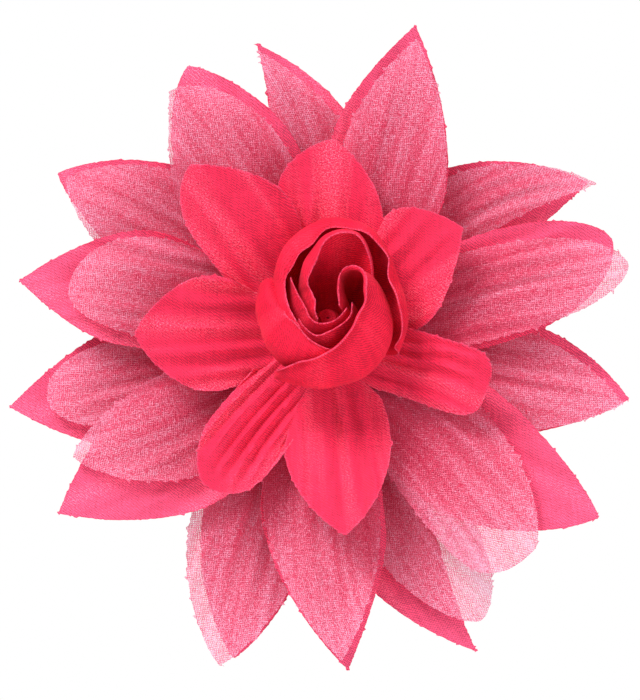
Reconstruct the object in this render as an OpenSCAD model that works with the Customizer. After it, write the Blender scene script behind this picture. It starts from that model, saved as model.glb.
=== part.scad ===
// Flower hair clip: a rolled fabric rosebud on five one-piece petal layers, glued to a felt disc
// that carries a sprung steel clip. Millimetres. The flower faces -Y, +Z is up, and the origin is
// on the flower's axis, where the clip's teeth meet.

/* [Petal layers] */
// Radius of the round centre that joins a layer's seven lobes
hub_r = 7; // [6:0.5:8]
// Radius of the punched hole in every layer
hole_r = 2.2; // [2.1:0.1:2.8]
// Thickness of the satin layers
satin_t = 0.4; // [0.3:0.05:0.45]
// Thickness of the organza layers
organza_t = 0.3; // [0.2:0.05:0.35]
// Distance from one layer's back to the next at the centre
layer_step = 0.8; // [0.75:0.05:1]

/* [Rosebud] */
// Lean of the bud towards +Z, in degrees
bud_lean = 24; // [16:1:26]
// Height of the bud from its foot to its rim
bud_h = 21; // [19:0.5:22]
// Thickness of a bud petal
bud_t = 0.35; // [0.25:0.05:0.4]

/* [Felt and glue] */
// Radius of the felt disc
felt_r = 17; // [15:0.5:22]
// Thickness of the felt disc
felt_t = 1.3; // [1:0.1:2]

/* [Clip] */
// Width of the clip's steel strips
arm_w = 7; // [7:0.5:9]
// Thickness of the steel
steel_t = 0.6; // [0.5:0.05:0.6]
// Length of the jaws below the origin
jaw_l = 22; // [18:1:26]
// Length of the handles above the origin
handle_l = 24; // [22:1:26]
// Radius of the hinge pin
pin_r = 0.8; // [0.7:0.05:0.9]
// Distance from one tooth to the next
tooth_pitch = 1.6; // [1.4:0.1:2]
// Height of a tooth
tooth_h = 0.8; // [0.6:0.1:0.9]

/* [Hidden] */
$fn = 48;

satin = [0.98, 0.25, 0.42];
satin_deep = [0.93, 0.16, 0.33];
organza = [0.98, 0.62, 0.74];
glue = [0.93, 0.9, 0.8];
nylon = [0.9, 0.9, 0.88];
steel = [0.75, 0.76, 0.78];

// Depths along Y, from the clip forward
web_y = 1.9;
arm_front = -web_y - steel_t / 2;
arm_glue_t = 0.5;
felt_back = arm_front - arm_glue_t;
felt_front = felt_back - felt_t;
collar_gap = 1.5;
collar_back = felt_front - collar_gap;
collar_t = 2;
stack_back = collar_back - collar_t;
slack = 0.1;

// Heights in front of the back of the stack
inner_top = slack + 4 * layer_step + satin_t;
head_t = 1;
head_top = inner_top + slack + head_t;
bud_foot = head_top + 0.9;

// ---- Petal layers ----
// A lobe is [aim, turn, reach, widths, widest, lift, roll, cup, droop, blunt]: its direction at
// the centre, how far its tip swings from that, both in degrees anticlockwise as seen from the
// front; the tip's distance from the axis; its greatest width to the left and to the right of its
// own line, and how far along those lie; its lift from the flat and its roll about its own length,
// in degrees; how much its edges rise, as a share of its width; how far its tip drops back, in mm;
// and 0 for a pointed tip to 1 or more for a round one.
lower_lobes = [
    [90, 13, 58, [9.5, 10.5], [0.3, 0.55], 2, 1, 0.1, 1, 0],
    [141, 7, 60, [12, 12], [0.4, 0.45], 2, -1, 0.1, 1, 0.2],
    [192, 0, 61.5, [13, 12], [0.55, 0.45], 2, 1, 0.1, 1, 0],
    [249, 5, 63, [11.5, 11.5], [0.45, 0.45], 2, -1, 0.1, 1, 0.2],
    [283, 13, 66, [10.5, 10.5], [0.4, 0.4], 2, 1, 0.1, 1, 0],
    [347, 2, 59, [11.5, 11.5], [0.55, 0.4], 2, -1, 0.1, 1, 0.1],
    [404, -13, 58.5, [11.5, 11], [0.5, 0.4], 2, 1, 0.1, 1, 0.1]
];
lower_organza_lobes = [
    [91, 12, 56.5, [8.5, 9.5], [0.3, 0.5], 5, 1, 0.1, 1, 0],
    [141, 7, 58, [13, 11], [0.45, 0.45], 5, -1, 0.1, 1, 0.3],
    [193, -1, 54, [8, 9], [0.5, 0.5], 5, 1, 0.1, 1, 1],
    [247, 5, 65, [12, 12], [0.5, 0.5], 5, -1, 0.1, 1, 0.2],
    [292, 7, 61, [12, 9], [0.45, 0.4], 5, 1, 0.1, 1, 0.6],
    [347, 1, 58, [10.5, 11], [0.5, 0.4], 5, -1, 0.1, 1, 0.1],
    [404, -12, 59, [11, 5], [0.5, 0.3], 5, 1, 0.1, 1, 0.3]
];
upper_lobes = [
    [68, 6, 62, [12.2, 13], [0.55, 0.35], 10, 1, 0.1, 1.5, 0],
    [119, -2.5, 58, [13.4, 14], [0.35, 0.45], 10, -1, 0.1, 1.5, 0.1],
    [164, 5, 59, [10.5, 13], [0.6, 0.5], 10, 1, 0.1, 1.5, 0],
    [220, -7, 60.3, [13, 13.5], [0.4, 0.55], 10, -1, 0.1, 1.5, 0],
    [266, 8, 62.7, [13, 12], [0.5, 0.35], 10, 1, 0.1, 1.5, 0],
    [323, 4, 61.7, [12, 14], [0.3, 0.45], 10, -1, 0.1, 1.5, 0.2],
    [378, 1, 57.6, [10, 11.2], [0.4, 0.5], 10, 1, 0.1, 1.5, 0.7]
];
upper_organza_lobes = [
    [69, 4, 59.3, [9.5, 13], [0.55, 0.35], 13, 1, 0.1, 1.5, 0.1],
    [117, 0, 53, [14, 12], [0.5, 0.5], 13, -1, 0.1, 1.5, 3],
    [164, 4, 49.5, [8, 11.5], [0.5, 0.5], 13, 1, 0.1, 1.5, 1],
    [213, -8, 52.5, [11, 11], [0.4, 0.4], 13, -1, 0.1, 1.5, 0.3],
    [266, 7, 60.5, [12, 11], [0.5, 0.35], 13, 1, 0.1, 1.5, 0.1],
    [322, -6, 56, [11, 15], [0.3, 0.5], 13, -1, 0.1, 1.5, 1.5],
    [376, -3, 59, [8, 12.5], [0.4, 0.5], 13, 1, 0.1, 1.5, 0.8]
];
inner_lobes = [
    [39, 0, 34, [9, 8.5], [0.5, 0.5], 27, 0, 0.2, 2, 1.2],
    [88.5, 0, 38, [11, 11], [0.45, 0.45], 24, 0, 0.2, 2, 0.1],
    [130, -3, 42, [10, 11.5], [0.5, 0.5], 26, 0, 0.2, 2, 1.2],
    [178, 2, 36, [11.5, 11.5], [0.5, 0.5], 29, 0, 0.2, 2, 0.4],
    [227, 2, 36, [9, 9], [0.5, 0.5], 31, 0, 0.2, 2, 0.3],
    [276, 0, 37, [10.5, 11], [0.5, 0.5], 31, 0, 0.2, 2, 0.2],
    [344, 0, 32, [6, 5], [0.6, 0.6], 29, 0, 0.2, 2, 2]
];

tip_w = 0.35;
sector_share = 0.94;
rows = 10;
columns = 8;

// Share of a lobe's greatest half width at s, from 0 at the centre to 1 at the tip
function outline(s, widest, blunt) =
    s < widest
    ? 1
    : pow(max(0, 1 - pow((s - widest) / (1 - widest), 1.7 + 1.3 * blunt)), 1 / (1 + blunt));

function middle(a, b) = (a + b) / 2;

// The directions where lobe i starts and ends on the centre's edge
function start_angle(lobes, i) =
    i == 0 ? middle(lobes[len(lobes) - 1][0] - 360, lobes[0][0]) : middle(lobes[i - 1][0], lobes[i][0]);
function end_angle(lobes, i) =
    i == len(lobes) - 1 ? start_angle(lobes, 0) + 360 : start_angle(lobes, i + 1);

// Half width at s on one side, 0 for left: the outline, kept inside the lobe's own sector
function half_width(lobe, side, s, r, sector) =
    let (
        room = r * tan(sector) * sector_share,
        w = max(tip_w, lobe[3][side] * outline(s, lobe[4][side], lobe[9]))
    )
    pow(pow(room, -6) + pow(w, -6), -1 / 6);

// A point of lobe i at s along it and t across it, from -1 to 1: [x, height, z]
function lobe_point(lobes, i, s, t) =
    let (
        lobe = lobes[i],
        sector = t < 0 ? lobe[0] - start_angle(lobes, i) : end_angle(lobes, i) - lobe[0],
        r = hub_r + (lobe[2] - hub_r) * s,
        a = lobe[0] + lobe[1] * s * s,
        w = half_width(lobe, t < 0 ? 1 : 0, s, r, sector),
        rise = (r - hub_r) * tan(lobe[5]) - lobe[8] * pow(s, 3),
        bowl = lobe[7] * w * t * t * s + tan(lobe[6]) * w * t * s
    )
    [r * cos(a) - t * w * sin(a), rise + bowl, r * sin(a) + t * w * cos(a)];

function ring(lobes, radius, height) = [
    for (i = [0:len(lobes) - 1], j = [0:columns - 1])
        let (a = start_angle(lobes, i) + (end_angle(lobes, i) - start_angle(lobes, i)) * j / columns)
        [radius * cos(a), height, radius * sin(a)]
];

// One side of a layer: the hole's ring, the centre's ring, then every lobe row by row
function side_points(lobes, height) = [
    each ring(lobes, hole_r, height),
    each ring(lobes, hub_r, height),
    for (lobe = [0:len(lobes) - 1], i = [1:rows], j = [0:columns])
        lobe_point(lobes, lobe, sin(90 * i / rows), 2 * j / columns - 1) + [0, height, 0]
];

// Index, within one side, of lobe i's point in row k and column j. Row 0 is on the centre's ring.
function grid_index(n, i, k, j) =
    k == 0
    ? n * columns + (i * columns + j) % (n * columns)
    : 2 * n * columns + (i * rows + k - 1) * (columns + 1) + j;

function quad(a, b, c, d) = [[a, b, c], [a, c, d]];

// Triangles of one side of n lobes, wound for the rear
function side_faces(n) = [
    for (k = [0:n * columns - 1])
        let (next = (k + 1) % (n * columns))
        each quad(k, k + n * columns, next + n * columns, next),
    for (i = [0:n - 1], k = [0:rows - 1], j = [0:columns - 1])
        each quad(
            grid_index(n, i, k, j), grid_index(n, i, k + 1, j),
            grid_index(n, i, k + 1, j + 1), grid_index(n, i, k, j + 1)
        )
];

// The layer's edge as pairs of indices: the hole, then round every lobe
function edge_pairs(n) = [
    for (k = [0:n * columns - 1]) [k, (k + 1) % (n * columns)],
    for (i = [0:n - 1], k = [0:rows - 1]) [grid_index(n, i, k + 1, 0), grid_index(n, i, k, 0)],
    for (i = [0:n - 1], j = [0:columns - 1]) [grid_index(n, i, rows, j + 1), grid_index(n, i, rows, j)],
    for (i = [0:n - 1], k = [0:rows - 1]) [grid_index(n, i, k, columns), grid_index(n, i, k + 1, columns)]
];

function flipped(faces) = [for (f = faces) [f[2], f[1], f[0]]];
function shifted(faces, by) = [for (f = faces) [for (i = f) i + by]];

// A layer of lobes as one closed solid, its back at the given height in front of the stack's back
module petal_layer(lobes, back, thickness) {
    n = len(lobes);
    rear = side_points(lobes, back);
    front = side_points(lobes, back + thickness);
    points = [for (p = concat(rear, front)) [p[0], stack_back - p[1], p[2]]];
    m = len(rear);
    walls = [for (e = edge_pairs(n)) each quad(e[0], e[1], e[1] + m, e[0] + m)];
    polyhedron(points, concat(side_faces(n), shifted(flipped(side_faces(n)), m), walls));
}

module lower_petals() {
    color(satin) petal_layer(lower_lobes, slack, satin_t);
}

module lower_organza() {
    color(organza) petal_layer(lower_organza_lobes, slack + layer_step, organza_t);
}

module upper_petals() {
    color(satin) petal_layer(upper_lobes, slack + 2 * layer_step, satin_t);
}

module upper_organza() {
    color(organza) petal_layer(upper_organza_lobes, slack + 3 * layer_step, organza_t);
}

module inner_petals() {
    color(satin_deep) petal_layer(inner_lobes, slack + 4 * layer_step, satin_t);
}

// ---- Rosebud ----
// A bud petal is [start, end, start radius, end radius, foot, top]: the directions it runs
// between, in degrees anticlockwise from +X; its radius at the belly at both ends, so that it
// starts outside its neighbour and ends inside the next one; and the heights of its foot and rim.
bud_petals = [
    [170, 290, 13.2, 9.9, 5, 18],
    [236, 400, 13.9, 9.6, 5, 19],
    [340, 585, 14.2, 10, 5, 20.5],
    [30, 210, 8.8, 5.6, 3, 19.5],
    [150, 330, 8.4, 5.2, 3, 18.5],
    [270, 450, 8.6, 5.4, 3, 17.5]
];
belly = 0.55;
foot_share = 0.35;
rim_share = 0.86;
bud_columns = 18;
bud_rows = 6;

// Share of the belly's radius at height y of the bud
function bulge(y) =
    let (q = y / bud_h)
    q < belly
    ? foot_share + (1 - foot_share) * pow(sin(90 * q / belly), 1.15)
    : 1 - (1 - rim_share) * pow((q - belly) / (1 - belly), 2);

function bud_point(petal, u, v, out) =
    let (
        a = petal[0] + (petal[1] - petal[0]) * u,
        top = petal[5] - 3 * pow(abs(2 * u - 1), 4),
        y = petal[4] + (top - petal[4]) * v,
        r = (petal[2] + (petal[3] - petal[2]) * u) * bulge(y) + out
    )
    [r * cos(a), r * sin(a), y];

function bud_index(i, j) = i * (bud_rows + 1) + j;

// Stands its children on the bud's foot: their +Z points out of the flower, leaning up
module on_bud_foot() {
    translate([0, stack_back - bud_foot, 0]) rotate([90 - bud_lean, 0, 0]) children();
}

module bud_petal(petal) {
    inside = [for (i = [0:bud_columns], j = [0:bud_rows]) bud_point(petal, i / bud_columns, j / bud_rows, 0)];
    outside = [for (i = [0:bud_columns], j = [0:bud_rows]) bud_point(petal, i / bud_columns, j / bud_rows, bud_t)];
    m = len(inside);
    faces = [
        for (i = [0:bud_columns - 1], j = [0:bud_rows - 1])
            each quad(bud_index(i, j), bud_index(i + 1, j), bud_index(i + 1, j + 1), bud_index(i, j + 1))
    ];
    edge = concat(
        [for (i = [0:bud_columns - 1]) [bud_index(i, 0), bud_index(i + 1, 0)]],
        [for (j = [0:bud_rows - 1]) [bud_index(bud_columns, j), bud_index(bud_columns, j + 1)]],
        [for (i = [0:bud_columns - 1]) [bud_index(i + 1, bud_rows), bud_index(i, bud_rows)]],
        [for (j = [0:bud_rows - 1]) [bud_index(0, j + 1), bud_index(0, j)]]
    );
    walls = [for (e = edge) each quad(e[0] + m, e[1] + m, e[1], e[0])];
    color(satin_deep) on_bud_foot()
        polyhedron(concat(inside, outside), concat(faces, flipped(shifted(faces, m)), walls));
}

core_r = 3.8;
core_h = 12;

module bud_core() {
    steps = 12;
    side = [for (i = [0:steps]) let (y = core_h * i / steps) [core_r * bulge(y) * (1 - 0.25 * i / steps), y]];
    color(satin_deep) on_bud_foot() rotate_extrude() polygon(concat([[0, 0]], side, [[0, core_h + 1]]));
}

module bud_glue() {
    top = bud_foot + 1.4;
    color(glue) difference() {
        translate([0, stack_back - head_top, 0]) rotate([90, 0, 0])
            cylinder(h = top - head_top, r1 = 4, r2 = 2.6);
        on_bud_foot() cylinder(h = 6, r1 = core_r * bulge(0) + 0.02, r2 = core_r * bulge(6) + 0.3);
    }
}

// ---- Peg, glue and felt ----
peg_r = 2;
head_r = 4.4;
collar_r = 4.5;

// A solid of revolution about the flower's axis, standing on a plane of constant y, facing front
module facing_front(y) {
    translate([0, y, 0]) rotate([90, 0, 0]) children();
}

module centre_peg() {
    shank_back = collar_back + 0.6;
    color(nylon) {
        facing_front(shank_back) cylinder(h = shank_back - stack_back + inner_top + slack + 0.2, r = peg_r);
        facing_front(stack_back - inner_top - slack) cylinder(h = head_t, r1 = head_r, r2 = head_r - 0.8);
    }
}

module peg_collar() {
    color(nylon) facing_front(collar_back) difference() {
        cylinder(h = collar_t, r = collar_r);
        translate([0, 0, -1]) cylinder(h = collar_t + 2, r = peg_r + 0.03);
    }
}

module back_glue() {
    color(glue) difference() {
        facing_front(felt_front) cylinder(h = felt_front - stack_back, r1 = 12, r2 = 8);
        facing_front(collar_back) cylinder(h = collar_t + 1, r = collar_r + 0.02);
        facing_front(collar_back + 0.7) cylinder(h = 2, r = peg_r + 0.05);
    }
}

module felt_disc() {
    color(satin) facing_front(felt_back) cylinder(h = felt_t, r = felt_r, $fn = 96);
}

module arm_glue() {
    color(glue) translate([0, arm_front, -2]) rotate([90, 0, 0])
        linear_extrude(arm_glue_t) rounded_bar(arm_w - 1.6, 22, 2);
}

// ---- Clip ----
pivot_y = 0.6;
pivot_z = 6;
ear_r = 2;
ear_gap = 0.1;
jaw_gap = 0.25;
pin_slack = 0.05;
corner_r = 1.5;
waist_w = arm_w - 2 * steel_t - 2 * ear_gap;

module rounded_bar(width, length, radius) {
    square([width - 2 * radius, length], center = true);
    square([width, length - 2 * radius], center = true);
    for (x = [-1, 1], y = [-1, 1])
        translate([x * (width / 2 - radius), y * (length / 2 - radius)]) circle(r = radius);
}

// Extrudes a shape drawn in Y and Z along X, centred
module across(width) {
    translate([-width / 2, 0, 0]) rotate([90, 0, 90]) linear_extrude(width) children();
}

// A shape drawn in X and Z, extruded right through the clip along Y
module plan() {
    translate([0, 20, 0]) rotate([90, 0, 0]) linear_extrude(40) children();
}

// A strip of steel along a path of [y, z] points
module strip(path) {
    polygon(concat(
        [for (p = path) [p[0] - steel_t / 2, p[1]]],
        [for (i = [len(path) - 1:-1:0]) [path[i][0] + steel_t / 2, path[i][1]]]
    ));
}

// A jaw's toothed edge: from the strip at web to the meshing line at edge, along the jaw
module toothed_edge(web, edge) {
    teeth = floor((jaw_l - 5) / tooth_pitch);
    start = -jaw_l + 1.2;
    polygon(concat(
        [[web, start]],
        [for (i = [0:2 * teeth]) [edge + (i % 2 - 0.5) * tooth_h, start + i * tooth_pitch / 2]],
        [[web, start + teeth * tooth_pitch]]
    ));
}

// The same plate on both sides of the clip, its outer face at x
module both_sides(x) {
    for (side = [0, 1]) mirror([side, 0, 0])
        translate([x - steel_t, 0, 0]) rotate([90, 0, 90]) linear_extrude(steel_t) children();
}

module pin_hole(radius) {
    translate([-arm_w, pivot_y, pivot_z]) rotate([0, 90, 0]) cylinder(h = 2 * arm_w, r = radius);
}

module fixed_arm() {
    color(steel) difference() {
        union() {
            intersection() {
                across(arm_w) strip([[-web_y, -jaw_l], [-web_y, handle_l]]);
                plan() translate([0, (handle_l - jaw_l) / 2]) rounded_bar(arm_w, jaw_l + handle_l, corner_r);
            }
            both_sides(arm_w / 2) toothed_edge(-web_y, -jaw_gap / 2);
            both_sides(arm_w / 2) {
                translate([-web_y, pivot_z - ear_r]) square([web_y + pivot_y, 2 * ear_r]);
                translate([pivot_y, pivot_z]) circle(r = ear_r);
            }
        }
        pin_hole(pin_r);
    }
}

module lever_arm() {
    waist_y = 3.1;
    color(steel) difference() {
        union() {
            intersection() {
                across(arm_w) strip([
                    [web_y, -jaw_l], [web_y, -2], [waist_y, 1.5], [waist_y, 10.5],
                    [8.2, handle_l - 0.8], [8.9, handle_l]
                ]);
                plan() union() {
                    translate([0, -(jaw_l - 1.5) / 2]) rounded_bar(arm_w, jaw_l + 1.5, corner_r);
                    translate([0, pivot_z]) square([waist_w, 12], center = true);
                    translate([0, (handle_l + 10.5) / 2]) rounded_bar(arm_w, handle_l - 10.5, corner_r);
                }
            }
            both_sides(arm_w / 2) toothed_edge(web_y, jaw_gap / 2);
            both_sides(waist_w / 2) {
                translate([pivot_y, pivot_z - ear_r + 0.2]) square([waist_y - pivot_y, 2 * ear_r - 0.4]);
                translate([pivot_y, pivot_z]) circle(r = ear_r - 0.2);
            }
        }
        pin_hole(pin_r + pin_slack);
    }
}

wire_r = 0.35;
leg_r = 0.3;
coil_r = 1.4;
turns = 5;
turn_pitch = 1.9 * wire_r;
leg_l = 9;
fixed_leg_angle = 2.5;
lever_leg_angle = 5;

// A torsion spring's closed coil round the pin, with a leg along each arm's handle
module clip_spring() {
    coil_w = (turns - 1) * turn_pitch;
    color(steel) {
        translate([0, pivot_y, pivot_z]) rotate([0, 90, 0]) rotate_extrude()
            for (i = [0:turns - 1]) translate([coil_r, i * turn_pitch - coil_w / 2]) circle(r = wire_r, $fn = 24);
        translate([-coil_w / 2, pivot_y - coil_r, pivot_z])
            rotate([fixed_leg_angle, 0, 0]) cylinder(h = leg_l, r = leg_r, $fn = 24);
        translate([coil_w / 2, pivot_y + coil_r, pivot_z])
            rotate([-lever_leg_angle, 0, 0]) cylinder(h = leg_l, r = leg_r, $fn = 24);
    }
}

module hinge_pin() {
    head_t = 0.4;
    color(steel) translate([0, pivot_y, pivot_z]) rotate([0, 90, 0]) {
        cylinder(h = arm_w + 0.1, r = pin_r, center = true);
        for (side = [0, 1]) mirror([0, 0, side])
            translate([0, 0, arm_w / 2 + 0.02]) cylinder(h = head_t, r1 = 1.3, r2 = 0.9);
    }
}

lower_petals();
lower_organza();
upper_petals();
upper_organza();
inner_petals();
bud_core();
bud_petal(bud_petals[0]);  // bud_petal_1
bud_petal(bud_petals[1]);  // bud_petal_2
bud_petal(bud_petals[2]);  // bud_petal_3
bud_petal(bud_petals[3]);  // bud_petal_4
bud_petal(bud_petals[4]);  // bud_petal_5
bud_petal(bud_petals[5]);  // bud_petal_6
bud_glue();
centre_peg();
peg_collar();
back_glue();
felt_disc();
arm_glue();
fixed_arm();
lever_arm();
clip_spring();
hinge_pin();
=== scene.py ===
"""Flower hair clip: a rolled rosebud on five petal layers, over a felt disc and a toothed steel clip.

The CAD frame gives every place and size. The petals are thin sheets of cloth, each cut flat and
shaped by its own lift, bowl and folds. Lengths in the tables are millimetres, angles degrees.
"""

import math

import bpy
import numpy as np
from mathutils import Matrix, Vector


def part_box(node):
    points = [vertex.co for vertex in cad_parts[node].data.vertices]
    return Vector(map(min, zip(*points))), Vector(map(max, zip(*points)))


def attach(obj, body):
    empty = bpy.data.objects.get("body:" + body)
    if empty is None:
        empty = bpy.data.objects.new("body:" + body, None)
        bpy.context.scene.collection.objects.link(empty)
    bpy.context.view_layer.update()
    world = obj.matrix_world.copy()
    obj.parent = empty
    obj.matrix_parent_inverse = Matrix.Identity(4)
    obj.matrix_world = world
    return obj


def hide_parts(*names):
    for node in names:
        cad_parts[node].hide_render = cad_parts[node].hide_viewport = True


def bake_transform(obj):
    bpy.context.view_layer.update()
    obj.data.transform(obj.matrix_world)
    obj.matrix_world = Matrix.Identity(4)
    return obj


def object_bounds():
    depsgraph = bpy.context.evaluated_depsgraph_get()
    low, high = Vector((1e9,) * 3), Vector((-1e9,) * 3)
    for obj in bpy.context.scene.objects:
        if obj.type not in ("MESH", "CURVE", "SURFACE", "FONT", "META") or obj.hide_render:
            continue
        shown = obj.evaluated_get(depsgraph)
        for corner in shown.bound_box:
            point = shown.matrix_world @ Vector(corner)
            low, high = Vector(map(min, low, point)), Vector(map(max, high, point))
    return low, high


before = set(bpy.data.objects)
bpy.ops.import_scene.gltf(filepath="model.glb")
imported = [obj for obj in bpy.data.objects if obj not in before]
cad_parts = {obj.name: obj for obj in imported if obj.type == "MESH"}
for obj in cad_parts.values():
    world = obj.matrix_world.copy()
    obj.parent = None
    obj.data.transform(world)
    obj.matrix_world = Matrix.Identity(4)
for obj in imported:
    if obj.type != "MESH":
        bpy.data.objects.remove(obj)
CAD_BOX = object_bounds()

bl_info = {
    "name": "Flower Hair Clip",
    "version": (1, 0, 0),
    "blender": (4, 5, 0),
    "location": "View3D > Sidebar > Flower Clip",
    "description": "Builds a fabric flower on a sprung hair clip",
    "category": "Add Mesh",
}

MM = 0.001

# Radius of the round centre that joins a layer's lobes, and of the hole punched in it
HUB_R = 7.0
HOLE_R = 2.2


# ---------------------------------------------------------------- settings


class PetalSettings(bpy.types.PropertyGroup):
    """Sizes and colours of the petal layers"""

    satin_thickness: bpy.props.FloatProperty(
        name="Satin thickness", description="Thickness of the opaque cloth",
        default=0.22 * MM, unit="LENGTH")
    organza_thickness: bpy.props.FloatProperty(
        name="Organza thickness", description="Thickness of the sheer cloth",
        default=0.12 * MM, unit="LENGTH")
    satin_pitch: bpy.props.FloatProperty(
        name="Satin weave", description="Distance between threads of the opaque cloth",
        default=0.48 * MM, unit="LENGTH")
    organza_pitch: bpy.props.FloatProperty(
        name="Organza weave", description="Distance between threads of the sheer cloth",
        default=0.36 * MM, unit="LENGTH")
    # Tip colour: the cloth painted lighter towards the outer tips, as painted light coming through
    # the cloth; the inner petals and the bud take it as the painted highlight on their rims.
    lit_tip_colour: bpy.props.FloatVectorProperty(
        name="Tip colour", description="Opaque cloth at the outer tips", subtype="COLOR",
        size=3, default=(0.93, 0.105, 0.235))
    base_colour: bpy.props.FloatVectorProperty(
        name="Base colour", description="Opaque cloth at the heart of the outer layers",
        subtype="COLOR", size=3, default=(0.93, 0.05, 0.14))
    inner_colour: bpy.props.FloatVectorProperty(
        name="Inner colour", description="Cloth of the inner petals", subtype="COLOR",
        size=3, default=(0.94, 0.032, 0.105))
    bud_colour: bpy.props.FloatVectorProperty(
        name="Bud colour", description="Cloth of the rosebud", subtype="COLOR",
        size=3, default=(0.9, 0.012, 0.055))
    organza_colour: bpy.props.FloatVectorProperty(
        name="Organza colour", description="Threads of the sheer cloth", subtype="COLOR",
        size=3, default=(0.94, 0.18, 0.33))


class BackSettings(bpy.types.PropertyGroup):
    """Colours of the backing"""

    felt_colour: bpy.props.FloatVectorProperty(
        name="Felt colour", description="Felt disc", subtype="COLOR", size=3,
        default=(0.74, 0.06, 0.15))
    glue_colour: bpy.props.FloatVectorProperty(
        name="Glue colour", description="Hot-melt glue", subtype="COLOR", size=3,
        default=(0.80, 0.74, 0.58))
    nylon_colour: bpy.props.FloatVectorProperty(
        name="Nylon colour", description="Moulded peg and collar", subtype="COLOR", size=3,
        default=(0.78, 0.77, 0.72))


class ClipSettings(bpy.types.PropertyGroup):
    """Finish of the clip and sizes of its spring"""

    plating_colour: bpy.props.FloatVectorProperty(
        name="Plating colour", description="Nickel plating of the clip", subtype="COLOR", size=3,
        default=(0.66, 0.65, 0.62))
    coil_radius: bpy.props.FloatProperty(
        name="Coil radius", description="From the pin's axis to the middle of the spring's wire",
        default=1.4 * MM, unit="LENGTH")
    coil_half_width: bpy.props.FloatProperty(
        name="Coil half width", description="From the middle of the coil to its last turn",
        default=1.37 * MM, unit="LENGTH")
    coil_turns: bpy.props.FloatProperty(
        name="Coil turns", description="Turns of wire round the pin", default=4.5)
    wire_radius: bpy.props.FloatProperty(
        name="Wire radius", description="Radius of the spring's wire", default=0.3 * MM,
        unit="LENGTH")
    leg_length: bpy.props.FloatProperty(
        name="Leg length", description="Length of each straight end of the spring",
        default=9 * MM, unit="LENGTH")
    fixed_leg_lean: bpy.props.FloatProperty(
        name="Fixed leg lean", description="Lean of the leg that bears on the fixed arm",
        default=math.radians(2.5), unit="ROTATION")
    lever_leg_lean: bpy.props.FloatProperty(
        name="Lever leg lean", description="Lean of the leg that bears on the lever",
        default=math.radians(5), unit="ROTATION")


class StageSettings(bpy.types.PropertyGroup):
    """Camera, light and floor"""

    camera_distance: bpy.props.FloatProperty(
        name="Camera distance", description="From the camera to the flower", default=1.2,
        unit="LENGTH")
    view_height: bpy.props.FloatProperty(
        name="View height", description="Height of the view at the flower", default=0.133,
        unit="LENGTH")
    floor_drop: bpy.props.FloatProperty(
        name="Floor drop", description="From the flower's axis down to the floor", default=0.085,
        unit="LENGTH")
    floor_radius: bpy.props.FloatProperty(
        name="Floor radius", description="Radius of the round floor", default=0.2, unit="LENGTH")


# ---------------------------------------------------------------- petal tables

# One row per lobe: aim, turn of the tip, reach, the left side and the right side as seen from the
# centre looking out, lift, roll, droop of the tip, and the depth of its folds. A side is its half
# width, how far out that lies, and the roundness of its shoulder. Angles run anticlockwise from +X.
LOWER_PETALS = [
    (90, 13, 58, (9.5, 0.3, 0), (10.5, 0.55, 0), 2, 2, 1, 0.3),
    (141, 7, 60, (12, 0.4, 0.2), (12, 0.45, 0.2), 2, -2, 1, 0.3),
    (192, 0, 61.5, (13, 0.55, 0), (12, 0.45, 0), 2, 2, 1, 0.3),
    (249, 5, 63, (11.5, 0.45, 0.2), (11.5, 0.45, 0.2), 2, -2, 1, 0.3),
    (283, 13, 66, (10.5, 0.4, 0), (10.5, 0.4, 0), 2, 2, 1, 0.3),
    (347, 2, 59, (11.5, 0.55, 0.1), (11.5, 0.4, 0.1), 2, -2, 1, 0.3),
    (404, -13, 58.5, (11.5, 0.5, 0.1), (11, 0.4, 0.1), 2, 2, 1, 0.3),
]
LOWER_ORGANZA = [
    (91, 12, 56.5, (8.5, 0.3, 0), (9.5, 0.5, 0), 5, 2, 1, 0.28),
    (141, 7, 58, (13, 0.45, 0.3), (11, 0.45, 0.3), 5, -2, 1, 0.28),
    (193, -1, 54, (8, 0.5, 1), (9, 0.5, 1), 5, 2, 1, 0.28),
    (247, 5, 65, (12, 0.5, 0.2), (12, 0.5, 0.2), 5, -2, 1, 0.28),
    (292, 7, 61, (12, 0.45, 0.6), (9, 0.4, 0.6), 5, 2, 1, 0.28),
    (347, 1, 58, (10.5, 0.5, 0.1), (11, 0.4, 0.1), 5, -2, 1, 0.28),
    (403.5, -13.5, 59.5, (9.8, 0.5, 0.2), (4.5, 0.3, 0.3), 5, 2, 1, 0.28),
]
UPPER_PETALS = [
    (68, 6, 62, (12.2, 0.55, 0), (13, 0.35, 0), 10, 2, 1.5, 0.3),
    (119, -2.5, 58, (11.6, 0.4, 0.4), (14, 0.45, 0.2), 10, -2, 1.5, 0.3),
    (164, 5, 59, (10.5, 0.6, 0), (13, 0.5, 0), 10, 2, 1.5, 0.3),
    (220, -7, 60.3, (13, 0.4, 0), (13.5, 0.55, 0), 10, -2, 1.5, 0.3),
    (266, 8, 62.7, (13, 0.5, 0), (12, 0.35, 0), 10, 2, 1.5, 0.3),
    (323, 4, 61.7, (12, 0.3, 0.2), (14, 0.45, 0.2), 10, -2, 1.5, 0.3),
    (378, 1, 57.6, (10, 0.4, 0.7), (11.2, 0.5, 0.7), 10, 2, 1.5, 0.3),
]
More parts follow.
